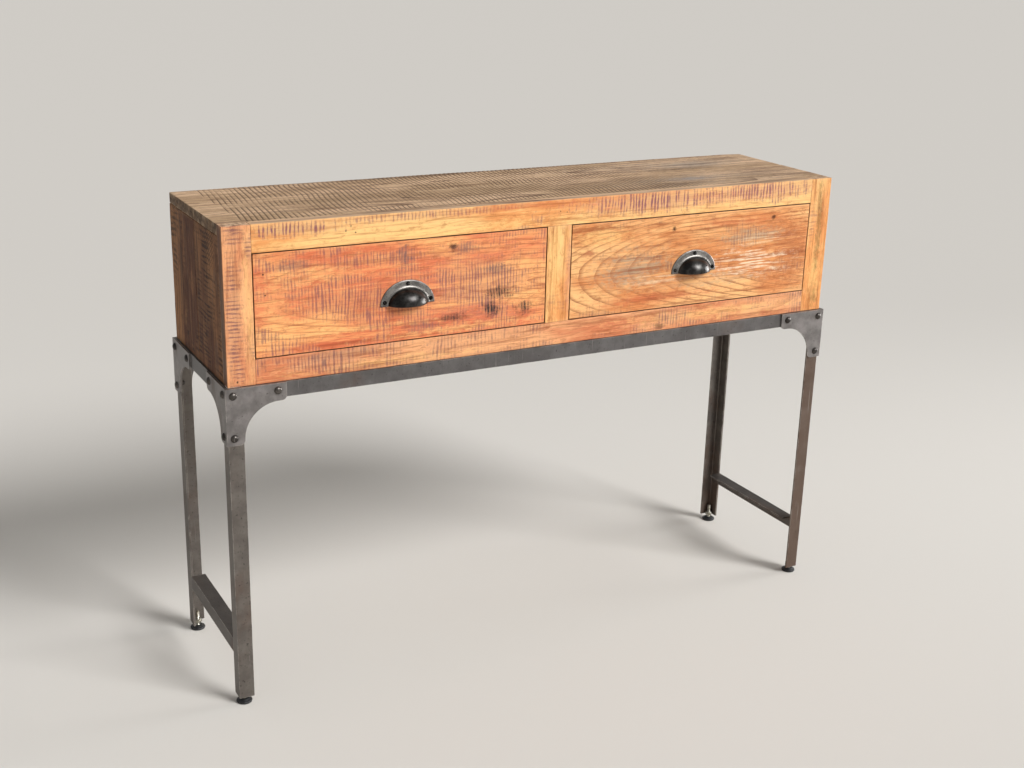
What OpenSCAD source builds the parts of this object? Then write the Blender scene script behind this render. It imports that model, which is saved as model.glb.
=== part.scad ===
// Console table: a wooden case with two inset drawers on a riveted angle-iron base.
// Millimetres. +Z is up, X runs along the front, and the front faces -Y.
// The origin is on the floor, at the middle of the whole table's footprint.

/* [Overall] */
// Height of the top surface above the floor
table_h = 800; // [740:5:860]
// Width of the wooden case
case_w = 1150; // [1000:10:1300]
// Depth of the wooden case, front to back
case_d = 290; // [270:5:340]
// Height of the wooden case
case_h = 250; // [235:5:280]

/* [Face frame] */
// Thickness of the face frame, front to back
face_t = 22; // [19:1:25]
// Width of the two end stiles
stile_w = 45; // [40:1:55]
// Width of the stile between the drawers
mid_stile_w = 46; // [40:1:55]
// Height of the rail above the drawers
top_rail_h = 44; // [40:1:50]
// Height of the rail below the drawers
bottom_rail_h = 40; // [38:1:46]

/* [Case boards] */
// Thickness of the two top boards
top_t = 18; // [15:1:20]
// Thickness of the side boards
side_t = 18; // [15:1:20]
// Thickness of the back panel
back_t = 12; // [9:1:12]
// Thickness of the bottom panel
bottom_t = 12; // [9:1:14]
// Thickness of the partition between the drawers
partition_t = 18; // [15:1:20]
// Distance from the face frame's front to the seam between two boards
seam_d = 149; // [135:1:160]

/* [Drawers] */
// Gap round each drawer front
drawer_gap = 1.5; // [1:0.25:2.5]
// Thickness of the drawer fronts
front_t = 20; // [18:1:22]
// Thickness of the drawer sides and backs
drawer_side_t = 12; // [10:1:14]
// Thickness of the drawer bottoms
drawer_bottom_t = 6; // [4:1:8]
// Length of a drawer, front to back
drawer_len = 245; // [225:5:245]

/* [Cup pulls] */
// Width of the pull's back plate
pull_w = 94; // [84:1:104]
// Height of the pull's back plate
pull_h = 40; // [36:1:44]
// Width of the cup
cup_w = 70; // [62:1:74]
// Radius of the cup in its side section
cup_r = 27.5; // [25:0.5:30]
// Distance of the cup's centre line behind the drawer front
cup_setback = 5; // [3:0.5:7]
// Wall thickness of the cup and its plate
pull_t = 2; // [1.5:0.5:3]
// Height of the pull's lower edge above the drawer opening's lower edge
pull_lift = 61; // [50:1:75]

/* [Iron base] */
// Leg width of the angle iron
angle_w = 25; // [20:1:30]
// Thickness of the angle iron
angle_t = 3; // [3:1:4]
// Radius in the angle iron's inner corner
root_r = 2; // [1.5:0.5:3]
// Thickness of the gusset plates
plate_t = 3; // [2:0.5:4]
// Length of a gusset's horizontal arm
plate_w = 98; // [92:1:110]
// Length of a gusset's vertical arm
plate_h = 93; // [91:1:105]
// Width of a gusset's arms
plate_arm = 29; // [27:1:32]
// Distance of the gusset's inner arc's centre from both outer edges
arc_c = 85; // [83:1:86]
// Height of the side stretchers' top
stretcher_z = 112; // [80:2:200]

/* [Rivets and feet] */
// Radius of a rivet's domed head
rivet_head_r = 6.5; // [5:0.5:7]
// Height of a rivet's domed head
rivet_head_h = 4.5; // [3:0.5:5]
// Height of the legs' lower ends above the floor
leg_z = 12; // [11:0.5:16]
// Radius of the foot pads
pad_r = 13; // [11:0.5:15]
// Height of the foot pads
pad_h = 7; // [6:0.5:8]

/* [Hidden] */
$fn = 64;

// Overhangs of the case beyond its own box, which place the origin
back_reach = angle_t + plate_t + rivet_head_h;
pull_reach = cup_r - cup_setback;
y0 = pull_reach - (pull_reach + case_d + back_reach) / 2;
y1 = y0 + case_d;
x1 = case_w / 2;
case_z = table_h - case_h;

// Case
inner_x = x1 - side_t;
inner_y0 = y0 + face_t;
inner_y1 = y1 - back_t;
inner_z0 = case_z + bottom_t;
inner_z1 = table_h - top_t;
seam_y = y0 + seam_d;
open_x0 = mid_stile_w / 2;
open_x1 = x1 - stile_w;
open_z0 = case_z + bottom_rail_h;
open_z1 = table_h - top_rail_h;
mid_x = (open_x0 + open_x1) / 2;

// Drawers, drawn for the right-hand opening
drawer_x0 = open_x0 + drawer_gap;
drawer_x1 = open_x1 - drawer_gap;
side_y0 = y0 + front_t;
drawer_y1 = y0 + drawer_len;
side_top = open_z1 - 11;
groove_z = open_z0 + 10;
groove_d = 5;
bearer_w = 20;
guide_h = 20;
kicker_gap = 2;
stop_h = 25;

// Pulls
pull_z = open_z0 + pull_lift;
cup_steps = 20;
pull_screw_x = 40;
pull_screw_low = 6.5;
pull_screw_high = 34.5;
pull_screw_r = 1.75;
pull_hole_r = 2;
pull_screw_head_r = 3.5;
pull_screw_head_h = 2.2;
pull_screw_len = 16;

// Iron base: outer faces of the legs and rails
iron_x = x1 + angle_t;
iron_y0 = y0 - angle_t;
iron_y1 = y1 + angle_t;
arc_r = arc_c - plate_arm;
arm_end_r = 8;
rivet_in = 12;
rivet_far = 84;
rivet_low = 81;
rivet_r = 3;
rivet_hole_r = 3.1;
tail_r = 4;
tail_h = 2;

// Screws that hold the case down on the rails
case_screw_x = [-380, 0, 380];
case_screw_in = [16, 18];
case_screw_r = 2;
case_screw_hole_r = 2.3;
case_screw_head_r = 4;
case_screw_head_h = 2.5;
case_screw_len = 14;

// Levelling feet
foot_in = 10.4;
stud_r = 4;
thread_gap = 0.05;
stud_top = 34;
socket_z = 3;
nut_af = 13;
nut_h = 6.5;

// A board between two opposite corners
module board(low, high) {
    translate(low) cube(high - low);
}

// Draws its children on the right (side 1) or mirrored on the left (side -1)
module on_side(side) {
    mirror([side < 0 ? 1 : 0, 0, 0]) children();
}

// Places its children at a corner of the iron base, +X and +Y pointing into the table
module at_corner(sx, sy) {
    translate([sx * iron_x, sy < 0 ? iron_y0 : iron_y1, 0])
        mirror([sx > 0 ? 1 : 0, 0, 0])
            mirror([0, sy > 0 ? 1 : 0, 0])
                children();
}

// Swaps X and Y, which turns a front part at a corner into the side part there
module swap_xy() {
    mirror([1, -1, 0]) children();
}

// ---- Wooden case ----

module top_board(from_y, to_y) {
    color("#a88b6e") board([-x1, from_y, inner_z1], [x1, to_y, table_h]);
}

module end_stile(side) {
    color("#e0965f") on_side(side) board([open_x1, y0, case_z], [x1, inner_y0, table_h]);
}

module top_rail() {
    color("#eeb06c") board([-open_x1, y0, open_z1], [open_x1, inner_y0, table_h]);
}

module bottom_rail() {
    color("#d98c62") board([-open_x1, y0, case_z], [open_x1, inner_y0, open_z0]);
}

module centre_stile() {
    color("#f0b877") board([-open_x0, y0, open_z0], [open_x0, inner_y0, open_z1]);
}

module side_board(side, from_y, to_y) {
    color("#6d5240") on_side(side) board([inner_x, from_y, case_z], [x1, to_y, inner_z1]);
}

module back_panel() {
    color("#8a6b4f") board([-inner_x, inner_y1, case_z], [inner_x, y1, inner_z1]);
}

module bottom_panel() {
    color("#8f7052") board([-inner_x, inner_y0, case_z], [inner_x, inner_y1, inner_z0]);
}

module partition() {
    color("#a07c58")
        board([-partition_t / 2, inner_y0, inner_z0], [partition_t / 2, inner_y1, inner_z1]);
}

// One runner: a bearer under the drawer's side, and a guide beside it.
// It spans X from the wall it is fixed to, at wall_x, to just past the drawer side at side_x.
module runner(wall_x, side_x) {
    dir = side_x > wall_x ? 1 : -1;
    tip_x = side_x + dir * bearer_w;
    guide_x = side_x - dir * drawer_gap;
    board([min(wall_x, tip_x), inner_y0, inner_z0], [max(wall_x, tip_x), inner_y1, open_z0]);
    board([min(wall_x, guide_x), inner_y0, open_z0 - 1],
          [max(wall_x, guide_x), inner_y1, open_z0 + guide_h]);
}

module drawer_runners() {
    color("#a8845c")
        for (side = [-1, 1])
            on_side(side) {
                runner(inner_x, drawer_x1);
                runner(partition_t / 2, drawer_x0);
            }
}

// Strips over the drawer sides, which stop an open drawer from tipping
module drawer_kickers() {
    color("#a8845c")
        for (side = [-1, 1])
            on_side(side) {
                board([drawer_x1 - bearer_w, inner_y0, side_top + kicker_gap],
                      [inner_x, inner_y1, inner_z1]);
                board([partition_t / 2, inner_y0, side_top + kicker_gap],
                      [drawer_x0 + bearer_w, inner_y1, inner_z1]);
            }
}

// Blocks on the runners' rear ends, where the closed drawers' sides come to rest
module drawer_stops() {
    color("#8f7052")
        for (side = [-1, 1], x = [drawer_x0, drawer_x1 - drawer_side_t])
            on_side(side)
                board([x, drawer_y1, open_z0], [x + drawer_side_t, inner_y1, open_z0 + stop_h]);
}

// ---- Drawers ----

module drawer_bottom_shape() {
    board([drawer_x0 + drawer_side_t - groove_d, side_y0 - groove_d, groove_z],
          [drawer_x1 - drawer_side_t + groove_d, drawer_y1, groove_z + drawer_bottom_t]);
}

module drawer_front(side) {
    color(side < 0 ? "#e2895a" : "#e39a62")
        on_side(side)
            difference() {
                board([drawer_x0, y0, open_z0 + drawer_gap],
                      [drawer_x1, side_y0, open_z1 - drawer_gap]);
                drawer_bottom_shape();
            }
}

module drawer_side(side, x) {
    color("#b98f63")
        on_side(side)
            difference() {
                board([x, side_y0, open_z0], [x + drawer_side_t, drawer_y1, side_top]);
                drawer_bottom_shape();
            }
}

module drawer_side_outer(side) {
    drawer_side(side, drawer_x1 - drawer_side_t);
}

module drawer_side_inner(side) {
    drawer_side(side, drawer_x0);
}

module drawer_back(side) {
    color("#b98f63")
        on_side(side)
            board([drawer_x0 + drawer_side_t, drawer_y1 - drawer_side_t, groove_z + drawer_bottom_t],
                  [drawer_x1 - drawer_side_t, drawer_y1, side_top]);
}

module drawer_bottom(side) {
    color("#c7a172") on_side(side) drawer_bottom_shape();
}

// ---- Cup pulls ----

// Upper half of an ellipse, its flat side on the X axis
module half_ellipse(a, b) {
    polygon([for (i = [0 : cup_steps * 2])
        [a * cos(180 * i / (cup_steps * 2)), b * sin(180 * i / (cup_steps * 2))]]);
}

// Egg-shaped solid of revolution about the X axis
module cup_solid(a, r) {
    rotate([0, 90, 0])
        rotate_extrude()
            polygon([for (i = [0 : cup_steps])
                [r * sin(180 * i / cup_steps), a * cos(180 * i / cup_steps)]]);
}

// Lays a flat shape, drawn in XY, against the drawer front and gives it a thickness
module on_front(thickness) {
    rotate([90, 0, 0]) linear_extrude(thickness) children();
}

module at_pull(side) {
    translate([side * mid_x, y0, pull_z]) children();
}

module at_pull_screws() {
    for (p = [[-pull_screw_x, pull_screw_low], [pull_screw_x, pull_screw_low],
              [0, pull_screw_high]])
        translate([p[0], 0, p[1]]) rotate([90, 0, 0]) children();
}

module pull(side) {
    color("#4a4440")
        at_pull(side) {
            difference() {
                on_front(pull_t) half_ellipse(pull_w / 2, pull_h);
                translate([0, cup_setback, 0]) cup_solid(cup_w / 2, cup_r - pull_t / 2);
                at_pull_screws() translate([0, 0, -1]) cylinder(r = pull_hole_r, h = pull_t + 2);
            }
            intersection() {
                difference() {
                    translate([0, cup_setback, 0]) cup_solid(cup_w / 2 + pull_t / 2, cup_r);
                    translate([0, cup_setback, 0])
                        cup_solid(cup_w / 2 - pull_t / 2, cup_r - pull_t);
                }
                translate([-cup_w, -cup_r * 2, 0]) cube([cup_w * 2, cup_r * 2, cup_r * 2]);
            }
        }
}

// Pan-head screw along +Z, its head's underside at z = 0 and its shank below
module pan_screw(shank_r, length, head_r, head_h) {
    dome_r = (head_r * head_r + head_h * head_h) / (2 * head_h);
    translate([0, 0, -length]) cylinder(r = shank_r, h = length + 0.1);
    intersection() {
        translate([0, 0, head_h - dome_r]) sphere(dome_r);
        cylinder(r = head_r, h = head_h);
    }
}

module pull_screws(side) {
    color("#1d1b1a")
        at_pull(side)
            at_pull_screws()
                translate([0, 0, pull_t])
                    pan_screw(pull_screw_r, pull_screw_len, pull_screw_head_r, pull_screw_head_h);
}

// ---- Iron base ----

// Angle iron's section: outer corner at the origin, flanges along +X and +Y
module angle_section() {
    difference() {
        square(angle_w);
        translate([angle_t + root_r, angle_t]) square(angle_w);
        translate([angle_t, angle_t + root_r]) square(angle_w);
        translate([angle_t + root_r, angle_t + root_r]) circle(root_r);
    }
}

// Angle iron along +X: one flange hangs down, the other lies flat towards +Y
module lying_angle(length) {
    rotate([0, 90, 0]) linear_extrude(length) angle_section();
}

// The three places of a front gusset's rivets at a corner, each looking along -Y
module at_front_rivets() {
    for (p = [[rivet_in, rivet_in], [rivet_far, rivet_in], [rivet_in, rivet_low]])
        translate([p[0] - plate_t, 0, case_z - p[1]]) rotate([90, 0, 0]) children();
}

module at_side_rivets() {
    swap_xy() translate([plate_t, 0, 0]) at_front_rivets() children();
}

module rivet_holes() {
    at_front_rivets() translate([0, 0, -2 * angle_t]) cylinder(r = rivet_hole_r, h = 6 * angle_t);
    at_side_rivets() translate([0, 0, -2 * angle_t]) cylinder(r = rivet_hole_r, h = 6 * angle_t);
}

// Domed rivet along +Z: the shank fills the flange and the plate
module rivet() {
    dome_r = (rivet_head_r * rivet_head_r + rivet_head_h * rivet_head_h) / (2 * rivet_head_h);
    translate([0, 0, plate_t])
        intersection() {
            translate([0, 0, rivet_head_h - dome_r]) sphere(dome_r);
            cylinder(r = rivet_head_r, h = rivet_head_h);
        }
    translate([0, 0, -angle_t - 0.1]) cylinder(r = rivet_r, h = angle_t + plate_t + 0.2);
    translate([0, 0, -angle_t - tail_h]) cylinder(r1 = tail_r - 0.8, r2 = tail_r, h = tail_h);
}

module leg(sx, sy) {
    color("#6e6c6b")
        at_corner(sx, sy)
            difference() {
                translate([0, 0, leg_z]) linear_extrude(case_z - leg_z) angle_section();
                rivet_holes();
            }
}

// Rail along X between two legs, seen from the front corner it starts at
module long_rail(sy) {
    color("#6e6c6b")
        difference() {
            at_corner(-1, sy)
                difference() {
                    translate([angle_w, 0, case_z]) lying_angle(2 * (iron_x - angle_w));
                    for (x = case_screw_x)
                        translate([x + iron_x, case_screw_in[sy < 0 ? 0 : 1], case_z - 2 * angle_t])
                            cylinder(r = case_screw_hole_r, h = 3 * angle_t);
                }
            for (sx = [-1, 1])
                at_corner(sx, sy) rivet_holes();
        }
}

// Angle iron along Y between the front and rear legs of one side
module side_angle(sx, top_z) {
    at_corner(sx, -1)
        swap_xy()
            translate([angle_w, 0, top_z]) lying_angle(iron_y1 - iron_y0 - 2 * angle_w);
}

module side_rail(sx) {
    color("#6e6c6b")
        difference() {
            side_angle(sx, case_z);
            for (sy = [-1, 1])
                at_corner(sx, sy) rivet_holes();
        }
}

module stretcher(sx) {
    color("#6e6c6b") side_angle(sx, stretcher_z);
}

// Gusset outline: outer top corner at the origin, arms along +X and -Y
module gusset_outline() {
    translate([0, -plate_arm]) square([plate_w - arm_end_r, plate_arm]);
    translate([0, arm_end_r - plate_arm]) square([plate_w, plate_arm - arm_end_r]);
    translate([plate_w - arm_end_r, arm_end_r - plate_arm]) circle(arm_end_r);
    translate([0, arm_end_r - plate_h]) square([plate_arm, plate_h - arm_end_r]);
    translate([0, -plate_h]) square([plate_arm - arm_end_r, plate_h]);
    translate([plate_arm - arm_end_r, arm_end_r - plate_h]) circle(arm_end_r);
    difference() {
        translate([0, -arc_c]) square(arc_c);
        translate([arc_c, -arc_c]) circle(arc_r);
    }
}

module gusset_plate() {
    translate([0, 0, case_z])
        rotate([90, 0, 0])
            linear_extrude(plate_t) gusset_outline();
}

// Front and rear plates reach out over the side plates' edges
module front_gusset(sx, sy) {
    color("#7a7876")
        at_corner(sx, sy)
            difference() {
                translate([-plate_t, 0, 0]) gusset_plate();
                rivet_holes();
            }
}

module side_gusset(sx, sy) {
    color("#7a7876")
        at_corner(sx, sy)
            difference() {
                swap_xy() gusset_plate();
                rivet_holes();
            }
}

module rivets() {
    color("#4b4a49")
        for (sx = [-1, 1], sy = [-1, 1])
            at_corner(sx, sy) {
                at_front_rivets() rivet();
                at_side_rivets() rivet();
            }
}

module case_screws() {
    color("#8f8f8c")
        for (sy = [-1, 1], x = case_screw_x)
            at_corner(-1, sy)
                translate([x + iron_x, case_screw_in[sy < 0 ? 0 : 1], case_z - angle_t])
                    mirror([0, 0, 1])
                        pan_screw(case_screw_r, case_screw_len,
                                  case_screw_head_r, case_screw_head_h);
}

// ---- Levelling feet ----

module at_foot(sx, sy) {
    at_corner(sx, sy) translate([foot_in, foot_in, 0]) children();
}

// Hex nut welded in the inner corner at the leg's lower end
module foot_nuts() {
    color("#b9b9b4")
        for (sx = [-1, 1], sy = [-1, 1])
            at_foot(sx, sy)
                translate([0, 0, leg_z])
                    difference() {
                        rotate([0, 0, 15]) cylinder(d = nut_af / cos(30), h = nut_h, $fn = 6);
                        translate([0, 0, -1]) cylinder(r = stud_r + thread_gap, h = nut_h + 2);
                    }
}

module foot_stud(sx, sy) {
    color("#c9c9c4")
        at_foot(sx, sy)
            translate([0, 0, socket_z + thread_gap])
                cylinder(r = stud_r, h = stud_top - socket_z - thread_gap);
}

module foot_pad(sx, sy) {
    color("#1c1c1d")
        at_foot(sx, sy)
            difference() {
                rotate_extrude()
                    polygon([[0, 0], [pad_r - 1.5, 0], [pad_r, 1.5], [pad_r, 4],
                             [stud_r + 4, pad_h], [0, pad_h]]);
                translate([0, 0, socket_z]) cylinder(r = stud_r + thread_gap, h = pad_h);
            }
}

top_board(inner_y0, seam_y);  // top_board_front
top_board(seam_y, y1);  // top_board_rear
end_stile(-1);  // end_stile_left
end_stile(1);  // end_stile_right
top_rail();
bottom_rail();
centre_stile();
side_board(-1, inner_y0, seam_y);  // side_board_left_front
side_board(-1, seam_y, y1);  // side_board_left_rear
side_board(1, inner_y0, seam_y);  // side_board_right_front
side_board(1, seam_y, y1);  // side_board_right_rear
back_panel();
bottom_panel();
partition();
drawer_runners();
drawer_kickers();
drawer_stops();
drawer_front(-1);  // drawer_front_left
drawer_side_outer(-1);  // drawer_side_left_outer
drawer_side_inner(-1);  // drawer_side_left_inner
drawer_back(-1);  // drawer_back_left
drawer_bottom(-1);  // drawer_bottom_left
pull(-1);  // pull_left
pull_screws(-1);  // pull_screws_left
drawer_front(1);  // drawer_front_right
drawer_side_outer(1);  // drawer_side_right_outer
drawer_side_inner(1);  // drawer_side_right_inner
drawer_back(1);  // drawer_back_right
drawer_bottom(1);  // drawer_bottom_right
pull(1);  // pull_right
pull_screws(1);  // pull_screws_right
leg(-1, -1);  // leg_front_left
leg(1, -1);  // leg_front_right
leg(-1, 1);  // leg_rear_left
leg(1, 1);  // leg_rear_right
long_rail(-1);  // rail_front
long_rail(1);  // rail_rear
side_rail(-1);  // rail_left
side_rail(1);  // rail_right
front_gusset(-1, -1);  // gusset_front_left
front_gusset(1, -1);  // gusset_front_right
front_gusset(-1, 1);  // gusset_rear_left
front_gusset(1, 1);  // gusset_rear_right
side_gusset(-1, -1);  // gusset_left_front
side_gusset(-1, 1);  // gusset_left_rear
side_gusset(1, -1);  // gusset_right_front
side_gusset(1, 1);  // gusset_right_rear
stretcher(-1);  // stretcher_left
stretcher(1);  // stretcher_right
rivets();
case_screws();
foot_nuts();
foot_pad(-1, -1);  // pad_front_left
foot_pad(1, -1);  // pad_front_right
foot_pad(-1, 1);  // pad_rear_left
foot_pad(1, 1);  // pad_rear_right
foot_stud(-1, -1);  // stud_front_left
foot_stud(1, -1);  // stud_front_right
foot_stud(-1, 1);  // stud_rear_left
foot_stud(1, 1);  // stud_rear_right
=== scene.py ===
"""Looks of the console table: worn reclaimed boards and dark riveted iron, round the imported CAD.

Metres, +Z up. X runs along the front, and the front faces -Y.
"""
import math

import bmesh
import bpy
import numpy as np
from mathutils import Matrix, Vector


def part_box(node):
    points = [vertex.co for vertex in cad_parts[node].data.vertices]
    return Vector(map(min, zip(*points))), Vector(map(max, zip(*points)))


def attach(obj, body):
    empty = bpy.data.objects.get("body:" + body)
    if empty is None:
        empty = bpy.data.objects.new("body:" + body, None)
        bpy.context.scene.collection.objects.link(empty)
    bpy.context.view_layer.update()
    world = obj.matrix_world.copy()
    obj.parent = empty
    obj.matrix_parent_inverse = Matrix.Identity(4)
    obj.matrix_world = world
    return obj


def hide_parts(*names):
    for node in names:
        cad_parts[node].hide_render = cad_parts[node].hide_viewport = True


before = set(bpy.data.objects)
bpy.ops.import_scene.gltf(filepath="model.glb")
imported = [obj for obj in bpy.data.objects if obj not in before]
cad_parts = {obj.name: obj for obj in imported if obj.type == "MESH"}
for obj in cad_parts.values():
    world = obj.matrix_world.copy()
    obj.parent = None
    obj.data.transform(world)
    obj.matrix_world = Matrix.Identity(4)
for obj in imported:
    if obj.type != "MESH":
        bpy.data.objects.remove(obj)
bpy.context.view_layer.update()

MM = 0.001
CORNERS = ("front_left", "front_right", "rear_left", "rear_right")
SIDES = ("left", "right")

# The axis along a board's grain, the one across it, and the one through the board
LONG_FRONT = (0, 2, 1)
TALL_FRONT = (2, 0, 1)
LONG_FLAT = (0, 1, 2)
TALL_SIDE = (2, 1, 0)
DEEP_SIDE = (1, 2, 0)
DEEP_FLAT = (1, 0, 2)


# ---- Numbers ----

def smoothstep(value, low, high):
    """0 below low, 1 above high, and a smooth rise between."""
    share = np.clip((value - low) / (high - low), 0, 1)
    return share * share * (3 - 2 * share)


def value_noise(points, scale, seed):
    """Smooth noise from 0 to 1 at each point, with cells 1 / scale wide on each axis."""
    table = np.random.default_rng(seed).random(4096)
    scaled = points * np.array(scale, float)
    cell = np.floor(scaled).astype(int)
    share = scaled - cell
    share = share * share * (3 - 2 * share)
    total = np.zeros(len(points))
    for corner in range(8):
        step = np.array([corner & 1, corner >> 1 & 1, corner >> 2 & 1])
        weight = np.prod(np.where(step, share, 1 - share), axis=1)
        key = (cell + step) @ np.array([73, 1179, 2083]) % len(table)
        total += weight * table[key]
    return total


def linear(code):
    """A colour such as "#c08040" as linear red, green, blue and alpha."""
    parts = [int(code[i:i + 2], 16) / 255 for i in (1, 3, 5)]
    return [p / 12.92 if p <= 0.04045 else ((p + 0.055) / 1.055) ** 2.4 for p in parts] + [1.0]


# ---- Meshes ----

def show(name, data):
    """A new object in the scene."""
    shown = bpy.data.objects.new(name, data)
    bpy.context.scene.collection.objects.link(shown)
    return shown


def new_piece(name, points, faces, body, replaced, material=None):
    """A smooth-shaded mesh that rides on a body and stands for the CAD nodes it replaces."""
    mesh = bpy.data.meshes.new(name)
    mesh.from_pydata(np.asarray(points).tolist(), [], [list(f) for f in faces])
    mesh.polygons.foreach_set("use_smooth", [True] * len(mesh.polygons))
    mesh.update()
    piece = show(name, mesh)
    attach(piece, body)
    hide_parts(*replaced)
    if material:
        finish_in(piece, material)
    return piece


def paint(piece, name, values):
    """Stores one number per vertex, for the material to read."""
    layer = piece.data.attributes.new(name, "FLOAT", "POINT")
    layer.data.foreach_set("value", np.asarray(values, np.float32))


def finish_in(piece, material):
    """Gives a piece or a CAD node its one material."""
    piece.data.materials.clear()
    piece.data.materials.append(material)


def lattice(stations):
    """Surface points and outward quads of a box lattice with those stations along each axis."""
    shape = [len(s) for s in stations]
    shell = np.zeros(shape, bool)
    for axis in range(3):
        for end in (0, -1):
            np.moveaxis(shell, axis, 0)[end] = True
    index = np.full(shape, -1)
    index[shell] = np.arange(shell.sum())
    points = np.column_stack([s[i] for s, i in zip(stations, np.nonzero(shell))])
    quads = []
    for axis in range(3):
        for end in (0, -1):
            face = np.take(index, end, axis=axis)
            corners = (face[:-1, :-1], face[1:, :-1], face[1:, 1:], face[:-1, 1:])
            ring = np.stack(corners, axis=-1).reshape(-1, 4)
            inward = (end == 0) != (axis == 1)
            quads.append(ring[:, ::-1] if inward else ring)
    return points, np.concatenate(quads)


def stations(low, high, cell, rim):
    """Positions from low to high about a cell apart, with finer steps at both worn edges."""
    near = np.array([0, 0.3, 0.6, 1.0, 1.5]) * rim
    count = max(1, round((high - low - 2 * near[-1]) / cell))
    middle = np.linspace(near[-1], high - low - near[-1], count + 1)
    return low + np.concatenate((near[:-1], middle, high - low - near[-2::-1]))


EDGE_REACH = 5 * MM
DENT = 0.15 * MM


def plank(node, body, axes, cells, rim, seed, relief=None, recess=None):
    """A board in place of a CAD node: edges worn round by varying amounts, and a relief cut inward.

    relief gives a depth in metres at each point, and recess how far the point moves forward. The
    mesh keeps four numbers for its material: edge, 1 on the board's edges, groove, the share of the
    relief's greatest depth, upward, 1 where it looks up, and narrow, 1 on the faces that aren't the
    board's broad ones.
    """
    low, high = (np.array(corner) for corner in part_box(node))
    points, quads = lattice([stations(low[a], high[a], cells[a], rim) for a in range(3)])
    radius = rim * (0.3 + 1.2 * value_noise(points, (38, 38, 38), seed))[:, None]
    core = np.clip(points, low + radius, high - radius)
    outward = (points - core) / np.linalg.norm(points - core, axis=1, keepdims=True)
    dents = DENT * value_noise(points, (45, 45, 45), seed + 1)
    cut = relief(points, low, high) if relief else np.zeros(len(points))
    placed = core + outward * (radius - (dents + cut)[:, None])
    if recess:
        placed[:, 1] -= recess(points, low, high)
    piece = new_piece(f"{node}_board", placed, quads, body, [node])
    to_face = np.sort(np.minimum(points - low, high - points), axis=1)
    paint(piece, "edge", np.clip(1 - to_face[:, 1] / EDGE_REACH, 0, 1))
    paint(piece, "groove", cut / max(cut.max(), MM / 100))
    paint(piece, "upward", smoothstep(outward[:, 2], 0.4, 0.8))
    paint(piece, "narrow", 1 - smoothstep(np.abs(outward[:, axes[2]]), 0.3, 0.7))
    return piece


def lathe(profile, steps):
    """Points and faces of a closed solid turned about Z from (radius, height) pairs, top first.

    The first and the last pair lie on the axis.
    """
    angles = np.arange(steps) * 2 * math.pi / steps
    points = [(0, 0, profile[0][1])]
    for radius, height in profile[1:-1]:
        points += [(radius * math.cos(a), radius * math.sin(a), height) for a in angles]
    points.append((0, 0, profile[-1][1]))
    last = len(points) - 1
    faces = []
    for i in range(steps):
        j = (i + 1) % steps
        faces.append((0, 1 + i, 1 + j))
        for ring in range(len(profile) - 3):
            upper = 1 + ring * steps
            lower = upper + steps
            faces.append((upper + i, lower + i, lower + j, upper + j))
        faces.append((last - steps + i, last, last - steps + j))
    return np.array(points), faces


def sheet(rows, columns):
    """Quads between neighbouring points that are listed row by row."""
    starts = [i * columns + j for i in range(rows - 1) for j in range(columns - 1)]
    return [(a, a + columns, a + columns + 1, a + 1) for a in starts]


def hoops(pairs, rings, size):
    """Quads between closed rings of size points, the last of the rings leading back to the first."""
    faces = []
    for ring in range(pairs):
        a, b = ring * size, (ring + 1) % rings * size
        for i in range(size):
            j = (i + 1) % size
            faces.append((a + i, a + j, b + j, b + i))
    return faces


def gather(parts):
    """One mesh's points and faces from several."""
    points = []
    faces = []
    count = 0
    for part_points, part_faces in parts:
        points.append(part_points)
        faces += [[i + count for i in face] for face in part_faces]
        count += len(part_points)
    return np.concatenate(points), faces


def facing(direction):
    """A rotation, as a 3 x 3 array, that turns +Z to the direction."""
    return np.array(Vector(direction).to_track_quat("Z", "Y").to_matrix())


def islands(node):
    """Lowest and highest corner of each separate solid in a CAD node."""
    shape = bmesh.new()
    shape.from_mesh(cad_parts[node].data)
    bmesh.ops.remove_doubles(shape, verts=shape.verts, dist=1e-6)
    left = set(shape.verts)
    found = []
    while left:
        island = []
        stack = [left.pop()]
        while stack:
            vert = stack.pop()
            island.append(vert.co.copy())
            for edge in vert.link_edges:
                other = edge.other_vert(vert)
                if other in left:
                    left.remove(other)
                    stack.append(other)
        corners = np.array(island)
        found.append((corners.min(axis=0), corners.max(axis=0)))
    shape.free()
    return found


def soften(part, width):
    """Rounds a CAD node's edges for the eye, with a bevel modifier."""
    bevel = part.modifiers.new("soft_edges", "BEVEL")
    bevel.width = width
    bevel.segments = 2
    bevel.limit_method = "ANGLE"
    bevel.angle_limit = math.radians(35)
    bevel.harden_normals = True


# ---- Material nodes ----

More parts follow.
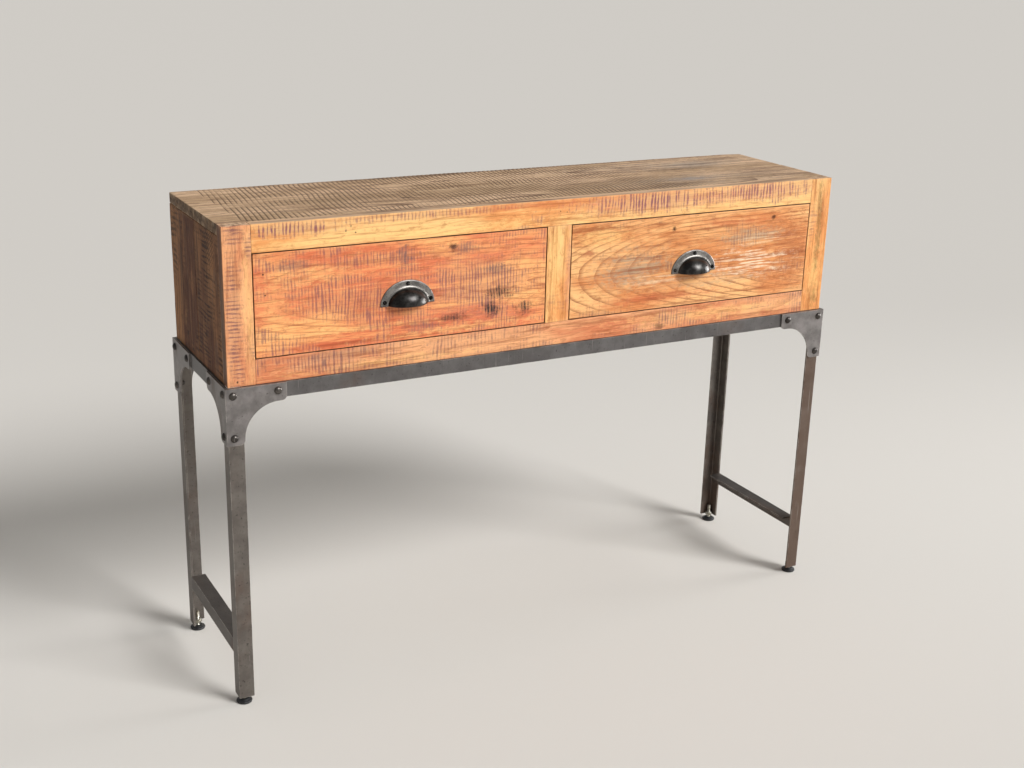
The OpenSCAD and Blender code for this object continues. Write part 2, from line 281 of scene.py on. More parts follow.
class Graph:
    """Shorthand for one material's nodes. A value is a number, a tuple or another node's socket."""

    def __init__(self, name):
        self.material = bpy.data.materials.new(name)
        self.material.use_nodes = True
        self.tree = self.material.node_tree
        self.shader = self.tree.nodes["Principled BSDF"]

    def node(self, kind, inputs=(), **settings):
        made = self.tree.nodes.new(kind)
        for key, value in settings.items():
            setattr(made, key, value)
        for key, value in dict(inputs).items():
            self.plug(value, made.inputs[key])
        return made

    def plug(self, value, socket):
        if isinstance(value, bpy.types.NodeSocket):
            self.tree.links.new(value, socket)
        else:
            socket.default_value = value

    def set(self, **values):
        """Sets the shader's sockets. An underscore in a name stands for a space."""
        for key, value in values.items():
            self.plug(value, self.shader.inputs[key.replace("_", " ")])

    def math(self, operation, a, b=0.0, c=0.0):
        return self.node("ShaderNodeMath", {0: a, 1: b, 2: c}, operation=operation).outputs[0]

    def times(self, a, b, plus=None):
        if plus is None:
            return self.math("MULTIPLY", a, b)
        return self.math("MULTIPLY_ADD", a, b, plus)

    def clamp(self, value):
        return self.node("ShaderNodeClamp", {0: value}).outputs[0]

    def band(self, value, low, high, to_low=0.0, to_high=1.0):
        inputs = {0: value, 1: low, 2: high, 3: to_low, 4: to_high}
        kind = "ShaderNodeMapRange"
        return self.node(kind, inputs, interpolation_type="SMOOTHSTEP").outputs[0]

    def scaled(self, place, scale, shift):
        inputs = {0: place, 1: scale, 2: shift}
        return self.node("ShaderNodeVectorMath", inputs, operation="MULTIPLY_ADD").outputs[0]

    def noise(self, place, scale, seed, detail=2.0, roughness=0.5):
        vector = self.scaled(place, scale, (seed * 3.7, seed * 5.3, seed * 7.9))
        inputs = {"Vector": vector, "Scale": 1.0, "Detail": detail, "Roughness": roughness}
        return self.node("ShaderNodeTexNoise", inputs).outputs[0]

    def mix(self, factor, a, b):
        return self.node("ShaderNodeMix", {0: factor, 6: a, 7: b}, data_type="RGBA").outputs[2]

    def attribute(self, name):
        return self.node("ShaderNodeAttribute", attribute_name=name).outputs["Fac"]

    def place(self):
        return self.node("ShaderNodeTexCoord").outputs["Object"]

    def bump(self, height, distance, strength):
        inputs = {"Height": height, "Distance": distance, "Strength": strength}
        self.set(Normal=self.node("ShaderNodeBump", inputs).outputs[0])

    def rims(self, radius, low, high, most=1.0):
        """From 0 on flat faces to most along sharp edges."""
        rounded = self.node("ShaderNodeBevel", {"Radius": radius}, samples=6).outputs[0]
        flat = self.node("ShaderNodeNewGeometry").outputs["Normal"]
        same = self.node("ShaderNodeVectorMath", {0: rounded, 1: flat}, operation="DOT_PRODUCT")
        return self.band(same.outputs["Value"], low, high, 0.0, most)

    def spot(self, place, centre, radii, rag, soft, seed):
        """1 inside a ragged, soft-edged ellipse in the plane of a board, and 0 outside it."""
        share = (1 / radii[0], 1 / radii[1], 0)
        shift = (-centre[0] / radii[0], -centre[1] / radii[1], 0)
        ring = self.node("ShaderNodeVectorMath", {0: self.scaled(place, share, shift)},
                         operation="LENGTH").outputs["Value"]
        torn = self.noise(place, (90, 150, 60), seed, detail=4.0, roughness=0.7)
        reach = self.times(torn, rag, ring)
        return self.band(reach, 1 - soft + rag / 2, 1 + soft / 2 + rag / 2, 1.0, 0.0)


# ---- Wood ----

def palette_of(light, warm, dark, saw, edge):
    """A board's colours: its light, warm and dark grain, its saw strokes and its worn edges."""
    return {"light": light, "warm": warm, "dark": dark, "saw": saw, "edge": edge}


HONEY = palette_of("#efb97c", "#d28750", "#8f4a27", "#85665a", "#e0a878")
RUSSET = palette_of("#f4b070", "#db7850", "#9c4c2e", "#8a5d58", "#cf8a60")
GOLD = palette_of("#f2c280", "#e0985a", "#a8602f", "#8c5a5c", "#e8b27c")
PINK = palette_of("#e8aa78", "#cc7a52", "#94502f", "#7c5654", "#d89a72")
GREY = palette_of("#d6b492", "#b49574", "#6d4f3a", "#4f3a2a", "#d2b898")
# UMBER, for the side boards and back panel, is a dark wood darkened further with painted shade, for
# sides in shade
UMBER = palette_of("#9e6e46", "#5e3620", "#27170a", "#20120a", "#8a6642")
PALE = palette_of("#d2ae80", "#bd9468", "#8d6842", "#7a5c42", "#b08c64")

# Colours of marks, and of faces that aren't a board's broad ones, which are partly painted shade
HOLE = "#1c100b"
KNOT = "#3a1d12"
WORN = "#ad967a"
BRUISE = "#7a5a55"
INK = "#3d302e"
SUN = "#f8ca82"
TOP_DARK = "#6b5038"
# TOP_DARK colours the top's dark smudges, and its narrow faces partly as painted shade
TOP_PALE = "#a8998a"
# Narrow faces of the face frame and drawer fronts: partly the end grain's darker colour, partly painted
# shade on sides turned from the light and in the gaps
SIDE_SHADE = "#5c3f26"
RED = "#c4613f"
ROSE = "#d98a6e"
OLIVE = "#7c6234"
SCRAPED = "#e6cba6"

# How ragged and how soft the edge of each kind of mark is
MARKS = {"hole": (0.3, 0.3), "knot": (3.0, 0.7), "smudge": (3.2, 0.9), "patch": (3.5, 1.0),
         "scrape": (3.0, 0.9), "saw": (2.5, 0.9)}

# The marks on each board that has any: (kind, share along, share across, half length and half
# width in mm, colour, strength). A saw mark is an area of saw strokes, in the board's saw colour.
BOARD_MARKS = {
    "top_board_front": [
        ("patch", 0.8, 0.4, 200, 50, TOP_PALE, 0.6), ("knot", 0.30, 0.66, 13, 6, KNOT, 0.8),
        ("patch", 0.78, 0.5, 45, 14, "#8f8f90", 0.7), ("patch", 0.93, 0.5, 60, 60, "#8d7460", 0.6),
        ("smudge", 0.74, 0.25, 70, 12, TOP_DARK, 0.8), ("smudge", 0.9, 0.3, 80, 10, TOP_DARK, 0.7),
    ],
    "top_board_rear": [
        ("patch", 0.8, 0.5, 200, 50, TOP_PALE, 0.6), ("patch", 0.5, 0.95, 560, 9, "#5c4535", 0.9),
        ("patch", 0.86, 0.4, 70, 30, "#8b8985", 0.6), ("smudge", 0.8, 0.2, 90, 12, TOP_DARK, 0.8),
        ("smudge", 0.93, 0.7, 60, 14, TOP_DARK, 0.7), ("knot", 0.72, 0.55, 14, 8, KNOT, 0.5),
    ],
    "end_stile_left": [
        ("saw", 0.4, 0.3, 110, 12, "", 1.0), ("saw", 0.95, 0.4, 20, 16, "", 1.0),
        ("saw", 0.1, 0.4, 22, 10, "", 1.0), ("patch", 0.5, 0.85, 120, 9, SUN, 0.5),
        ("hole", 0.03, 0.35, 2, 1.5, HOLE, 0.8),
    ],
    "end_stile_right": [
        ("patch", 0.55, 0.55, 75, 6, OLIVE, 1.0), ("patch", 0.85, 0.45, 40, 6, OLIVE, 0.9),
        ("patch", 0.12, 0.6, 25, 9, OLIVE, 0.8), ("patch", 0.25, 0.5, 40, 14, SUN, 0.6),
    ],
    "top_rail": [
        ("saw", 0.06, 0.72, 75, 12, "", 1.0), ("saw", 0.25, 0.85, 160, 7, "", 0.6),
        ("saw", 0.68, 0.64, 150, 20, "", 1.0), ("saw", 0.9, 0.7, 140, 17, "", 0.9),
        ("patch", 0.42, 0.85, 190, 7, RED, 0.55), ("patch", 0.7, 0.66, 170, 15, ROSE, 0.7),
        ("patch", 0.9, 0.7, 110, 14, ROSE, 0.6), ("patch", 0.1, 0.8, 100, 9, RED, 0.45),
        ("patch", 0.28, 0.2, 240, 10, SUN, 0.8), ("hole", 0.142, 0.5, 1.3, 1.1, HOLE, 0.9),
        ("hole", 0.15, 0.66, 1.1, 1.1, HOLE, 0.9), ("hole", 0.157, 0.42, 1.4, 1.2, HOLE, 0.9),
        ("hole", 0.5, 0.55, 1.2, 1.2, HOLE, 0.8), ("hole", 0.512, 0.5, 1.0, 1.0, HOLE, 0.8),
    ],
    "bottom_rail": [
        ("patch", 0.2, 0.25, 150, 8, SUN, 0.55), ("patch", 0.8, 0.5, 170, 13, SUN, 0.6),
        ("patch", 0.13, 0.75, 60, 10, WORN, 0.5), ("knot", 0.105, 0.55, 4, 9, BRUISE, 0.7),
        ("knot", 0.70, 0.15, 9, 6, KNOT, 0.6),
    ],
    "centre_stile": [
        ("patch", 0.5, 0.95, 80, 6, "#d08c6c", 0.8), ("patch", 0.6, 0.35, 70, 10, SUN, 0.7),
    ],
    "side_board_left_front": [
        ("patch", 0.5, 0.1, 130, 18, "#5a3422", 0.8),
    ],
    "drawer_front_left": [
        ("patch", 0.72, 0.45, 100, 60, "#b3735f", 0.7), ("patch", 0.4, 0.5, 60, 30, "#b96f52", 0.6),
        ("hole", 0.03, 0.8, 1.6, 1.4, HOLE, 0.9), ("hole", 0.035, 0.6, 1.6, 1.3, HOLE, 0.8),
        ("patch", 0.06, 0.5, 32, 60, SUN, 0.5), ("patch", 0.2, 0.75, 60, 14, SUN, 0.6),
        ("patch", 0.3, 0.05, 190, 4, RED, 0.9), ("patch", 0.3, 0.93, 150, 10, RED, 0.6),
        ("patch", 0.3, 0.1, 200, 12, RED, 0.5), ("patch", 0.25, 0.17, 180, 5, SUN, 0.6),
        ("patch", 0.9, 0.3, 30, 12, SUN, 0.6), ("patch", 0.7, 0.06, 150, 7, SUN, 0.6),
        ("smudge", 0.49, 0.84, 12, 20, BRUISE, 0.9), ("smudge", 0.55, 0.12, 30, 10, BRUISE, 0.7),
        ("smudge", 0.12, 0.86, 30, 8, BRUISE, 0.8), ("smudge", 0.815, 0.63, 26, 9, BRUISE, 1.0),
        ("smudge", 0.83, 0.38, 28, 10, INK, 1.0), ("knot", 0.66, 0.89, 8, 6, KNOT, 0.9),
        ("smudge", 0.71, 0.88, 24, 10, BRUISE, 0.7), ("smudge", 0.66, 0.175, 22, 8, INK, 1.0),
        ("smudge", 0.80, 0.22, 17, 13, INK, 1.0), ("smudge", 0.92, 0.19, 16, 12, INK, 1.0),
        ("saw", 0.25, 0.45, 65, 26, "", 1.0), ("saw", 0.42, 0.4, 50, 20, "", 0.9),
        ("saw", 0.38, 0.85, 90, 12, "", 0.9), ("saw", 0.72, 0.5, 50, 40, "", 0.8),
        ("saw", 0.53, 0.25, 30, 18, "", 0.8),
    ],
    "drawer_front_right": [
        ("knot", 0.07, 0.69, 12, 7, "#b5714a", 0.8), ("knot", 0.41, 0.86, 4, 4, KNOT, 0.9),
        ("patch", 0.25, 0.47, 75, 34, WORN, 0.95), ("patch", 0.75, 0.7, 75, 14, WORN, 0.9),
        ("patch", 0.6, 0.25, 110, 10, WORN, 0.7), ("patch", 0.12, 0.85, 60, 16, SUN, 0.7),
        ("patch", 0.93, 0.5, 40, 70, "#a9623a", 0.8), ("patch", 0.3, 0.12, 160, 9, RED, 0.6),
        ("patch", 0.68, 0.88, 90, 8, RED, 0.5), ("scrape", 0.74, 0.4, 85, 24, "#ecd8bb", 0.85),
        ("scrape", 0.35, 0.33, 60, 10, SCRAPED, 0.6), ("scrape", 0.8, 0.66, 50, 10, SCRAPED, 0.6),
        ("knot", 0.84, 0.885, 5, 4, KNOT, 0.8), ("saw", 0.72, 0.7, 50, 14, "", 0.6),
    ],
}

# The noises of the grain: (cells per metre along, across and through, seed step, detail, roughness)
GRAIN = {"cloud": ((3, 12, 12), 0, 4.0, 0.6), "blotch": ((14, 40, 40), 2, 5.0, 0.7),
         "mottle": ((60, 100, 100), 11, 4.0, 0.7), "fibre": ((12, 230, 230), 3, 4.0, 0.75),
         "streak": ((4, 100, 100), 4, 4.0, 0.7)}

# Washes of a palette's colour: (noise, its low and high level, share of colour at each, colour)
WASHES_BELOW = (("blotch", 0.54, 0.68, 0.0, 0.45, "dark"), ("blotch", 0.32, 0.46, 0.6, 0.0, "light"))
WASHES_ABOVE = (("streak", 0.53, 0.66, 0.0, 0.6, "dark"), ("streak", 0.34, 0.46, 0.5, 0.0, "light"),
                ("fibre", 0.53, 0.68, 0.0, 0.6, "dark"), ("fibre", 0.3, 0.45, 0.4, 0.0, "light"),
                ("mottle", 0.54, 0.68, 0.0, 0.4, "dark"))

# Strokes per metre that break up the smudges on a board without a saw's strokes
PLAIN_PITCH = 170
NARROW_SHARE = 0.85
EDGE_SHARE = 0.45


class Board(Graph):
    """A board's material as it is built up: its place, grain noises, colour and bump height."""

    def __init__(self, name, node, axes, palette, seed):
        super().__init__(name)
        low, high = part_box(node)
        self.size = [(high - low)[axis] for axis in axes]
        self.seed = seed
        self.palette = palette
        split = self.node("ShaderNodeSeparateXYZ", {0: self.place()})
        self.parts = [self.math("SUBTRACT", split.outputs[a], low[a]) for a in axes]
        joined = self.node("ShaderNodeCombineXYZ", dict(enumerate(self.parts)))
        self.spread = joined.outputs[0]
        self.grain = {key: self.noise(self.spread, scale, seed + step, detail, rough)
                      for key, (scale, step, detail, rough) in GRAIN.items()}
        self.colour = linear(palette["light"])
        self.cover(self.band(self.grain["cloud"], 0.42, 0.58), "warm")

    def figure(self, scale, step, **detail):
        """A noise on the board, seeded a step on from the board's own seed."""
        return self.noise(self.spread, scale, self.seed + step, **detail)

    def cover(self, share, colour, strength=None):
        """Mixes a colour over what is there, by a share and maybe a strength.

        The colour is a socket, a code such as "#c08040", or a name from the board's palette.
        """
        if strength is not None:
            share = self.times(share, strength)
        if isinstance(colour, str):
            colour = linear(self.palette.get(colour, colour))
        self.colour = self.mix(share, self.colour, colour)

    def wash(self, rows):
        """Washes of the palette's colours, each following one of the grain's noises."""
        for key, low, high, at_low, at_high, colour in rows:
            self.cover(self.band(self.grain[key], low, high, at_low, at_high), colour)

    def marks(self, marks, kinds, seed):
        """The mask, colour, strength and kind of each mark of those kinds."""
        for count, (kind, u, v, half_long, half_wide, code, strength) in enumerate(marks):
            if kind in kinds:
                rag, soft = MARKS[kind]
                centre = (u * self.size[0], v * self.size[1])
                radii = (half_long * MM, half_wide * MM)
                mask = self.spot(self.spread, centre, radii, rag, soft, seed + count)
                yield mask, code, strength, kind

    def patches(self, marks):
        """Broad stained or faded places, broken up along the grain."""
        for mask, code, strength, _ in self.marks(marks, ("patch",), self.seed + 40):
            broken = self.band(self.grain["streak"], 0.38, 0.56, 0.35 * strength, strength)
            self.cover(mask, code, broken)

    def growth_rings(self, heart, strength):
        """Dark late wood lines, as on a board cut beside a tree's heart.

        heart is (distance across the board, depth behind its face, drift per metre, ring width in
        mm).
        """
        across, depth, drift, width = heart
        warp = self.figure((2.2, 5, 5), 6, detail=2.0)
        fine = self.figure((7, 22, 22), 7, detail=3.0)
        side = self.math("SUBTRACT", self.parts[1], across)
        side = self.times(warp, 0.05, side)
        lean = self.times(self.parts[0], drift, depth)
        lean = self.times(warp, 0.03, lean)
        squared = self.math("ADD", self.math("POWER", side, 2.0), self.math("POWER", lean, 2.0))
        reach = self.times(fine, width * MM * 0.9, self.math("SQRT", squared))
        share = self.math("FRACT", self.math("DIVIDE", reach, width * MM))
        self.lines = self.band(self.math("POWER", share, 2.5), 0.3, 0.9)
        bold = self.band(self.grain["cloud"], 0.38, 0.6, strength, strength * 0.35)
        self.cover(self.lines, "dark", bold)

    def pores(self):
        """Short dark pores along the grain, and the bump height of the plain wood."""
        pore = self.figure((75, 1500, 1500), 5, detail=1.0)
        pore = self.band(pore, 0.6, 0.74)
        self.cover(pore, "dark", 0.4)
        ringed = self.times(self.lines, -0.25)
        self.height = self.times(self.grain["fibre"], 0.6, ringed)
        self.height = self.times(pore, -0.5, self.height)

    def saw_strokes(self, saw, marks):
        """The saw's fine strokes across the grain, in patches and where the saw marks are."""
        pitch = saw[1] if saw else PLAIN_PITCH
        wander = self.figure((12, 9, 9), 12)
        turns = self.times(self.parts[0], 2 * math.pi * 0.9 * pitch)
        wave = self.math("SINE", self.times(wander, 16, turns))
        cuts = self.figure((pitch, 20, 20), 8, detail=4.0, roughness=0.7)
        self.cuts = self.band(self.times(wave, 0.1, cuts), 0.48, 0.6)
        if not saw:
            return
        strength, _, level = saw
        patch = self.figure((9, 17, 17), 9, detail=5.0, roughness=0.7)
        patch = self.band(patch, level, level + 0.16)
        for mask, _, more, _ in self.marks(marks, ("saw",), self.seed + 60):
            patch = self.math("MAXIMUM", patch, self.times(mask, more))
        between = self.times(self.math("SUBTRACT", 1.0, self.cuts), patch)
        self.cover(between, "light", 0.6 * strength)
        self.cover(patch, "saw", 0.28 * strength)
        cuts_here = self.times(self.cuts, patch)
        self.cover(cuts_here, "saw", strength)
        self.height = self.times(cuts_here, -0.9, self.height)

    def small_marks(self, marks):
        """Scrapes along the grain, smudges broken by saw strokes, and sunken knots and holes."""
        kinds = ("scrape", "knot", "smudge", "hole")
        for mask, code, strength, kind in self.marks(marks, kinds, self.seed + 80):
            if kind == "scrape":
                thin = self.figure((16, 320, 320), 95, detail=3.0)
                mask = self.times(mask, self.band(thin, 0.48, 0.58))
            elif kind == "smudge":
                mask = self.times(mask, self.times(self.cuts, 0.5, 0.5))
            else:
                self.height = self.times(mask, -1.2, self.height)
            self.cover(mask, code, strength)

    def faces(self, narrow, greyed):
        """Painted shade in the relief, the narrow faces' colour with painted shade, grey looking up, and
        worn edges.
        """
        streak = self.grain["streak"]
        # Painted shade: the saw colour darkens the deep grooves of the relief
        self.cover(self.band(self.attribute("groove"), 0.4, 0.95, 0.0, 0.9), "saw")
        # The narrow faces are darkened: partly the end grain's own colour, partly painted shade on sides
        # turned from the light and on faces in the gaps
        if narrow:
            shaded = self.mix(self.band(streak, 0.35, 0.65), linear(narrow), linear(UMBER["dark"]))
            self.cover(self.attribute("narrow"), shaded, NARROW_SHARE)
        if greyed:
            grey = self.mix(self.band(streak, 0.35, 0.7), linear(GREY["light"]), linear(GREY["dark"]))
            self.cover(self.attribute("upward"), grey)
        rub = self.figure((55, 55, 55), 10, detail=3.0)
        worn = self.times(self.attribute("edge"), self.band(rub, 0.42, 0.62))
        self.cover(worn, "edge", EDGE_SHARE)

    def surface(self, gloss, shine):
        """Sends the colour, roughness and bump to the shader."""
        self.set(Base_Color=self.colour)
        polish = self.times(self.grain["fibre"], 0.3, gloss - 0.1)
        self.set(Roughness=self.clamp(self.times(self.lines, -0.08, polish)))
        self.set(Specular_IOR_Level=shine)
        self.bump(self.height, 0.35 * MM, 0.7)


def wood(node, axes, palette, heart, seed, rings=0.5, saw=None, gloss=0.5, narrow=None, greyed=False):
    """A reclaimed board's material.

    saw is (strength, strokes per metre, patch level). narrow is the colour of the faces that aren't the
    broad ones, partly painted shade, and a greyed board has weathered grey where it looks up.
    """
    marks = BOARD_MARKS.get(node, ())
    board = Board(f"{node}_wood", node, axes, palette, seed)
    board.wash(WASHES_BELOW)
    board.patches(marks)
    board.growth_rings(heart, rings)
    board.wash(WASHES_ABOVE)
    board.pores()
    board.saw_strokes(saw, marks)
    board.small_marks(marks)
    board.faces(narrow, greyed)
    board.surface(gloss, shine=0.2)
    return board.material


# Spacing of a coarse saw's ridges on the top, and of its scars on the sides
RIDGE = 8.6 * MM
SCAR = 7.5 * MM


def outside_top(points, high):
    """1 on a board's upper face, and 0 elsewhere."""
    return (points[:, 2] > high[2] - 0.1 * MM).astype(float)


def saw_ridges(points, low, high):
    """Depth of the ridges that a coarse saw left across the top boards, slanted and fading right."""
    wander = 0.9 * value_noise(points, (8, 17, 1), 31)
    phase = (points[:, 0] - 0.12 * points[:, 1]) / RIDGE + wander
    wave = 0.5 + 0.5 * np.cos(2 * math.pi * phase)
    patch = 0.6 + 0.4 * smoothstep(value_noise(points, (14, 28, 1), 32), 0.1, 0.55)
    start = smoothstep(points[:, 0], low[0] + 36 * MM, low[0] + 44 * MM)
    fade = 1 - 0.85 * smoothstep(points[:, 0] + 0.4 * points[:, 1], 0.18, 0.42)
    return 0.45 * MM * wave ** 1.8 * patch * start * fade * outside_top(points, high)


def rough_sides(points, low, high):
    """Depth of a saw's diagonal scars on a side board."""
    wander = 1.2 * value_noise(points, (1, 12, 12), 41)
    wave = 0.5 + 0.5 * np.cos(2 * math.pi * ((points[:, 2] + 0.8 * points[:, 1]) / SCAR + wander))
    patch = smoothstep(value_noise(points, (1, 14, 9), 42), 0.4, 0.7)
    return 0.4 * MM * wave ** 2 * patch


def worn_rear(points, low, high):
    """How far wear has moved the rear edge of the top forward, most at its right corner."""
    near = smoothstep(points[:, 1], high[1] - 16 * MM, high[1])
    wave = value_noise(points * (1, 0, 0), (9, 1, 1), 51)
    corner = smoothstep(points[:, 0], high[0] - 60 * MM, high[0]) ** 2
    return near * (2.4 * MM * wave + 6 * MM * corner)


# Sizes of a board's mesh cells along X, Y and Z
TOP_CELLS = (1.9 * MM, 4.5 * MM, 6 * MM)
FRONT_CELLS = (5 * MM, 5 * MM, 5 * MM)
SIDE_CELLS = (6 * MM, 3 * MM, 1.7 * MM)
WIDE_CELLS = (8 * MM, 8 * MM, 8 * MM)


def case_board(number, node, slot, axes, palette, heart, cells, rim, relief=None, recess=None,
               **finish):
    """One board of the case and its material. Its number seeds both."""
    piece = plank(node, "table", axes, cells, rim, number * 7, relief, recess)
    gloss = 0.5 if slot == "face_wood" else 0.62
    finish_in(piece, wood(node, axes, palette, heart, number * 11.3, gloss=gloss, **finish))


def top_boards():
    """The two boards of the top, ridged by the saw, the rear one worn along its back."""
    # Node, heart, rim and recess
    rows = [("top_board_front", (0.05, 0.05, 0.02, 7), 1.2 * MM, None),
            ("top_board_rear", (0.09, 0.06, -0.02, 8), 2.4 * MM, worn_rear)]
    for number, (node, heart, rim, recess) in enumerate(rows, start=1):
        # The narrow faces take TOP_DARK: partly the end grain's darker colour, partly painted shade
        case_board(number, node, "top_wood", LONG_FLAT, GREY, heart, TOP_CELLS, rim, saw_ridges,
                   recess, rings=0.9, narrow=TOP_DARK)


def face_frame():
    """The stiles and rails round the drawers. Those that reach the top are greyed there."""
    # Node, axes, palette, heart, rim in mm, saw, rings and whether greyed
    rows = [
        ("end_stile_left", TALL_FRONT, PINK, (0.06, 0.05, 0.03, 6), 0.9, (0.8, 170, 0.52), 0.3, True),
        ("end_stile_right", TALL_FRONT, GOLD, (-0.01, 0.05, 0.03, 6), 0.9, (0.45, 170, 0.56), 0.45,
         True),
        ("top_rail", LONG_FRONT, GOLD, (-0.03, 0.06, 0.02, 6), 0.9, (1.0, 175, 0.58), 0.3, True),
        ("bottom_rail", LONG_FRONT, PINK, (0.06, 0.04, 0.03, 6), 0.9, (0.6, 180, 0.45), 0.4, False),
        ("centre_stile", TALL_FRONT, GOLD, (0.07, 0.05, 0.02, 7), 0.8, (0.3, 180, 0.58), 0.3, False),
    ]
    for number, (node, axes, palette, heart, rim, saw, rings, greyed) in enumerate(rows, start=3):
        case_board(number, node, "face_wood", axes, palette, heart, FRONT_CELLS, rim * MM, saw=saw,
                   rings=rings, narrow=SIDE_SHADE, greyed=greyed)


def side_boards():
    """Two upright boards on each side, and the panel across the back."""
    # Node, heart, relief, saw and rings
    rows = [
        ("side_board_left_front", (0.05, 0.05, 0.03, 6), rough_sides, (0.6, 150, 0.42), 0.4),
        ("side_board_left_rear", (0.1, 0.05, 0.03, 7), None, (0.6, 110, 0.5), 0.7),
        ("side_board_right_front", (0.02, 0.05, 0.03, 6), None, (0.8, 110, 0.42), 0.5),
        ("side_board_right_rear", (0.12, 0.05, 0.03, 7), rough_sides, (0.8, 110, 0.45), 0.45),
    ]
    for number, (node, heart, relief, saw, rings) in enumerate(rows, start=8):
        case_board(number, node, "side_wood", TALL_SIDE, UMBER, heart, SIDE_CELLS, 1.5 * MM, relief,
                   saw=saw, rings=rings)
    case_board(12, "back_panel", "side_wood", LONG_FRONT, UMBER, (0.1, 0.06, 0.02, 8),
               WIDE_CELLS, 1.0 * MM, saw=(0.6, 120, 0.45), rings=0.5)


def inner_panels():
    """The bottom panel and the partition, in pale unmarked wood."""
    for number, node, axes in ((13, "bottom_panel", LONG_FLAT), (14, "partition", DEEP_SIDE)):
        case_board(number, node, "inner_wood", axes, PALE, (0.1, 0.06, 0.02, 8), WIDE_CELLS,
                   0.8 * MM, rings=0.4)


def drawer_boards():
    """Both drawers' fronts, sides, backs and bottoms."""
    # Palette, heart, saw and rings
    fronts = {
        "left": (RUSSET, (0.105, 0.05, -0.12, 7), (0.7, 205, 0.46), 0.6),
        "right": (HONEY, (0.085, 0.09, -0.17, 6.5), (0.45, 175, 0.54), 0.8),
    }
    for count, side in enumerate(SIDES):
        body = f"drawer_{side}"
        palette, heart, saw, rings = fronts[side]
        node = f"drawer_front_{side}"
        piece = plank(node, body, LONG_FRONT, FRONT_CELLS, 0.8 * MM, 151 + count)
        finish_in(piece, wood(node, LONG_FRONT, palette, heart, 171 + 13.7 * count, rings=rings,
                              saw=saw, gloss=0.48, narrow=SIDE_SHADE))
        inner = [(f"drawer_side_{side}_outer", DEEP_SIDE), (f"drawer_side_{side}_inner", DEEP_SIDE),
                 (f"drawer_back_{side}", LONG_FRONT), (f"drawer_bottom_{side}", LONG_FLAT)]
        for place, (node, axes) in enumerate(inner):
            seed = 190 + 10 * count + place
            piece = plank(node, body, axes, WIDE_CELLS, 0.7 * MM, seed)
            finish_in(piece, wood(node, axes, PALE, (0.05, 0.05, 0.03, 8), seed * 1.7,
                                  rings=0.35, gloss=0.6))


def inner_strips():
    """The runners, kickers and stops keep their CAD shapes, with softened edges."""
    for count, node in enumerate(("drawer_runners", "drawer_kickers", "drawer_stops")):
        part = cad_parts[node]
        soften(part, 0.6 * MM)
        finish_in(part, wood(node, DEEP_FLAT, PALE, (0.1, 0.05, 0.03, 8), 230 + count * 5.1,
                             rings=0.35, gloss=0.6))


# ---- Iron ----

def iron(name, seed, base="#68625d", brown="#5d4a3e", pale="#7d7771", brown_from=0.55, rough=0.45):
    """Dark waxed iron: mill scale mottling, brown rust bloom, streaks and bright rubbed edges."""
    graph = Graph(name)
    place = graph.place()
    mottle = graph.noise(place, (38, 38, 38), seed, detail=5.0, roughness=0.65)
    cloud = graph.noise(place, (7, 7, 5), seed + 1, detail=4.0, roughness=0.6)
    grit = graph.noise(place, (900, 900, 900), seed + 2, detail=2.0)
    pits = graph.noise(place, (260, 260, 260), seed + 3, detail=3.0)
    scratch = graph.noise(place, (420, 420, 14), seed + 4, detail=2.0)
    colour = graph.mix(graph.band(mottle, 0.3, 0.75), linear(base), linear(pale))
    bloom = graph.band(cloud, brown_from, brown_from + 0.18, 0.0, 0.85)
    colour = graph.mix(bloom, colour, linear(brown))
    colour = graph.mix(graph.band(pits, 0.62, 0.74, 0.0, 0.6), colour, linear("#2c2723"))
    colour = graph.mix(graph.band(scratch, 0.66, 0.78, 0.0, 0.3), colour, linear("#b9b4ad"))
    rubbed = graph.times(graph.rims(1.6 * MM, 0.97, 0.82), graph.band(mottle, 0.38, 0.55))
    colour = graph.mix(graph.times(rubbed, 0.75), colour, linear("#c9c3bb"))
    graph.set(Base_Color=colour)
    dull = graph.times(mottle, 0.3, rough - 0.12)
    graph.set(Roughness=graph.clamp(graph.times(bloom, 0.15, dull)))
    graph.set(Metallic=graph.band(bloom, 0.0, 1.0, 0.85, 0.45))
    height = graph.times(grit, 0.25, graph.times(pits, -0.8))
    graph.bump(graph.times(mottle, 1.2, height), 0.3 * MM, 0.5)
    return graph.material


def iron_base():
    """The angle iron and plates keep their CAD shapes, with softened, rubbed edges."""
    finishes = {
        "leg": iron("leg_iron", 3.1, brown_from=0.5),
        "leg_front_right": iron("leg_brown_iron", 5.3, base="#635349", pale="#786a60",
                                brown_from=0.42),
        "rail": iron("rail_iron", 7.7, base="#625f5e", pale="#73706f", brown_from=0.6),
        "stretcher": iron("stretcher_iron", 12.9, base="#5a5450", pale="#6c6661"),
        "gusset": iron("gusset_iron", 17.3, base="#74706e", pale="#948f8d", brown_from=0.6),
    }
    for node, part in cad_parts.items():
        kind = node if node in finishes else node.split("_")[0]
        if kind in finishes:
            soften(part, 0.5 * MM)
            finish_in(part, finishes[kind])


SHANK = 8 * MM
HAMMERED = 0.45 * MM
# A rivet head's outline, as shares of its radius and of its height down from the crown
DOME = ((0.3, 0.045), (0.55, 0.16), (0.76, 0.37), (0.91, 0.64), (0.98, 0.86), (1, 0.97), (0.97, 1),
        (0.46, 1))


